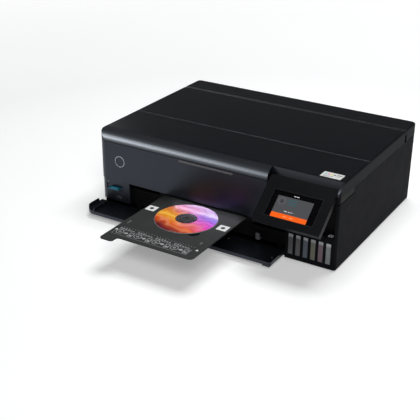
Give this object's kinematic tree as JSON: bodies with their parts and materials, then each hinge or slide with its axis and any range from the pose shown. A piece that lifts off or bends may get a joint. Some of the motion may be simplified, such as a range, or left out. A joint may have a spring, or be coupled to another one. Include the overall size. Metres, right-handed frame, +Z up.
{
  "type": "disc label printer",
  "caption": "Low wide photo printer and scanner with a drop-down front cover, disc tray holding a disc, tilting touch panel, paper cassettes and a row of ink tank windows.",
  "frame": {"origin": "on the surface it stands on, under the middle of the closed body, at the middle foot's underside", "axes": "+X to the right seen from the front, +Y to the back, +Z up"},
  "size_m": [0.523, 0.5845, 0.169],
  "materials": {
    "shell_black": "fine-textured black moulding",
    "front_black": "smooth satin black front",
    "inner_black": "dark inner moulding",
    "tray_grey": "matt dark grey tray",
    "screen_black": "glossy touch screen",
    "pale_trim": "pale grey trim",
    "mid_grey": "grey trim",
    "card_blue": "blue memory card",
    "disc_print": "printed disc face",
    "tank_clear": "cloudy translucent tank",
    "rubber": "black rubber",
    "steel": "zinc-plated sheet steel",
    "glass": "clear platen glass",
    "pad_white": "white foam document pad",
    "gear_white": "natural acetal gear",
    "board_green": "circuit board"
  },
  "bodies": {
    "case": {"base_tray": "inner_black", "rubber_feet": "rubber", "side_left": "shell_black", "side_right": "shell_black", "rear_panel": "shell_black", "front_panel": "front_black", "grip_strip": "mid_grey", "card_module": "front_black", "usb_port": "steel", "disc_guide": "inner_black", "panel_pocket": "inner_black", "tank_housing": "shell_black", "ink_tanks": "tank_clear", "tank_caps": "inner_black", "chassis_frame": "steel", "carriage_rail": "steel", "encoder_strip": "tank_clear", "timing_belt": "inner_black", "drive_motors": "steel", "platen": "inner_black", "ink_tubes": "inner_black", "maintenance_box": "inner_black", "power_supply": "steel", "main_board": "board_green", "rear_sockets": "inner_black", "rear_feed_tray": "inner_black"},
    "button": {"power_button": "front_black", "power_ring": "pale_trim"},
    "card": {"memory_card": "card_blue"},
    "front_door": {"front_cover": "front_black"},
    "lower_drawer": {"lower_cassette": "inner_black", "cassette_lever": "mid_grey"},
    "guide_l": {"cassette_guide_left": "inner_black"},
    "guide_r": {"cassette_guide_right": "inner_black"},
    "upper_drawer": {"upper_cassette": "inner_black"},
    "stacker": {"output_tray": "inner_black"},
    "disc_carrier": {"disc_tray": "tray_grey"},
    "disc": {"label_disc": "disc_print"},
    "panel": {"panel_housing": "front_black", "touch_screen": "screen_black"},
    "tank_lid": {"tank_cover": "inner_black"},
    "carriage": {"print_carriage": "inner_black", "print_head": "steel"},
    "drive_wheel": {"drive_pulley": "gear_white"},
    "idler_wheel": {"idler_pulley": "gear_white"},
    "feeder": {"feed_roller": "rubber", "feed_gear": "gear_white"},
    "pinion": {"motor_pinion": "gear_white"},
    "exit": {"exit_roller": "rubber"},
    "pinch": {"pinch_roller": "rubber"},
    "scanner": {"scanner_frame": "inner_black", "scanner_glass": "glass"},
    "scan_bar": {"scan_carriage": "inner_black"},
    "lid": {"document_cover": "shell_black", "lid_liner": "inner_black", "document_pad": "pad_white"},
    "rear_lid": {"rear_feed_cover": "shell_black"},
    "rear_guide_l": {"rear_guide_left": "inner_black"},
    "rear_guide_r": {"rear_guide_right": "inner_black"},
    "access": {"rear_access_cover": "shell_black"}
  },
  "joints": [
    {"name": "power_press", "type": "slide", "parent": "case", "child": "button", "axis": [0, 1, 0], "range_m": [0, 0.001], "stiffness_N_per_m": 400},
    {"name": "card_pull", "type": "slide", "parent": "case", "child": "card", "axis": [0, -1, 0], "range_m": [0, 0.025]},
    {"name": "front_cover_hinge", "type": "hinge", "parent": "case", "child": "front_door", "pos_m": [0, -0.1875, 0.0085], "axis": [1, 0, 0], "range_deg": [-40, 0]},
    {"name": "lower_cassette_slide", "type": "slide", "parent": "case", "child": "lower_drawer", "axis": [0, -1, 0], "range_m": [0, 0.2]},
    {"name": "cassette_guide_left_slide", "type": "slide", "parent": "lower_drawer", "child": "guide_l", "axis": [1, 0, 0], "range_m": [0, 0.05]},
    {"name": "cassette_guide_right_slide", "type": "slide", "parent": "lower_drawer", "child": "guide_r", "axis": [1, 0, 0], "range_m": [-0.05, 0]},
    {"name": "upper_cassette_slide", "type": "slide", "parent": "case", "child": "upper_drawer", "axis": [0, -1, 0], "range_m": [0, 0.12]},
    {"name": "output_tray_slide", "type": "slide", "parent": "case", "child": "stacker", "axis": [0, -1, 0], "range_m": [0, 0.08]},
    {"name": "disc_tray_slide", "type": "slide", "parent": "case", "child": "disc_carrier", "axis": [0, 1, 0], "range_m": [-0.05, 0.25]},
    {"name": "disc_lift", "type": "slide", "parent": "disc_carrier", "child": "disc", "axis": [0, 0, 1], "range_m": [0, 0.03]},
    {"name": "panel_tilt", "type": "hinge", "parent": "case", "child": "panel", "pos_m": [0, -0.1873, 0.1474], "axis": [-1, 0, 0], "range_deg": [-51, 0]},
    {"name": "tank_cover_hinge", "type": "hinge", "parent": "case", "child": "tank_lid", "pos_m": [0, -0.112, 0.0684], "axis": [-1, 0, 0], "range_deg": [0, 50]},
    {"name": "carriage_slide", "type": "slide", "parent": "case", "child": "carriage", "axis": [1, 0, 0], "range_m": [-0.39, 0]},
    {"name": "drive_pulley_spin", "type": "hinge", "parent": "case", "child": "drive_wheel", "pos_m": [0.232, 0.052, 0.099], "axis": [0, 0, 1], "continuous": true},
    {"name": "idler_pulley_spin", "type": "hinge", "parent": "case", "child": "idler_wheel", "pos_m": [-0.232, 0.052, 0.099], "axis": [0, 0, 1], "continuous": true},
    {"name": "feed_spin", "type": "hinge", "parent": "case", "child": "feeder", "pos_m": [0, 0.045, 0.0503], "axis": [1, 0, 0], "continuous": true},
    {"name": "pinion_spin", "type": "hinge", "parent": "case", "child": "pinion", "pos_m": [0, 0.045, 0.0803], "axis": [1, 0, 0], "continuous": true},
    {"name": "exit_spin", "type": "hinge", "parent": "case", "child": "exit", "pos_m": [0, -0.066, 0.0523], "axis": [1, 0, 0], "continuous": true},
    {"name": "pinch_spin", "type": "hinge", "parent": "case", "child": "pinch", "pos_m": [0, 0.045, 0.0654], "axis": [1, 0, 0], "continuous": true},
    {"name": "scanner_hinge", "type": "hinge", "parent": "case", "child": "scanner", "pos_m": [0, 0.1245, 0.16], "axis": [-1, 0, 0], "range_deg": [0, 30]},
    {"name": "scan_slide", "type": "slide", "parent": "scanner", "child": "scan_bar", "axis": [1, 0, 0], "range_m": [0, 0.27]},
    {"name": "lid_hinge", "type": "hinge", "parent": "scanner", "child": "lid", "pos_m": [0, 0.1245, 0.16], "axis": [-1, 0, 0], "range_deg": [0, 60]},
    {"name": "rear_cover_hinge", "type": "hinge", "parent": "case", "child": "rear_lid", "pos_m": [0, 0.187, 0.146], "axis": [-1, 0, 0], "range_deg": [0, 95]},
    {"name": "rear_guide_left_slide", "type": "slide", "parent": "case", "child": "rear_guide_l", "axis": [1, 0, 0], "range_m": [0, 0.05]},
    {"name": "rear_guide_right_slide", "type": "slide", "parent": "case", "child": "rear_guide_r", "axis": [1, 0, 0], "range_m": [-0.05, 0]},
    {"name": "access_cover_pull", "type": "slide", "parent": "case", "child": "access", "axis": [0, 1, 0], "range_m": [0, 0.03]}
  ],
  "couplings": [
    {"joint": "cassette_guide_right_slide", "follows": "cassette_guide_left_slide", "ratio": -1},
    {"joint": "rear_guide_right_slide", "follows": "rear_guide_left_slide", "ratio": -1},
    {"joint": "drive_pulley_spin", "follows": "carriage_slide", "rad_per_m": 151.52},
    {"joint": "idler_pulley_spin", "follows": "carriage_slide", "rad_per_m": 151.52},
    {"joint": "pinion_spin", "follows": "feed_spin", "ratio": -3},
    {"joint": "exit_spin", "follows": "feed_spin", "ratio": 1.3333},
    {"joint": "pinch_spin", "follows": "feed_spin", "ratio": -2}
  ]
}
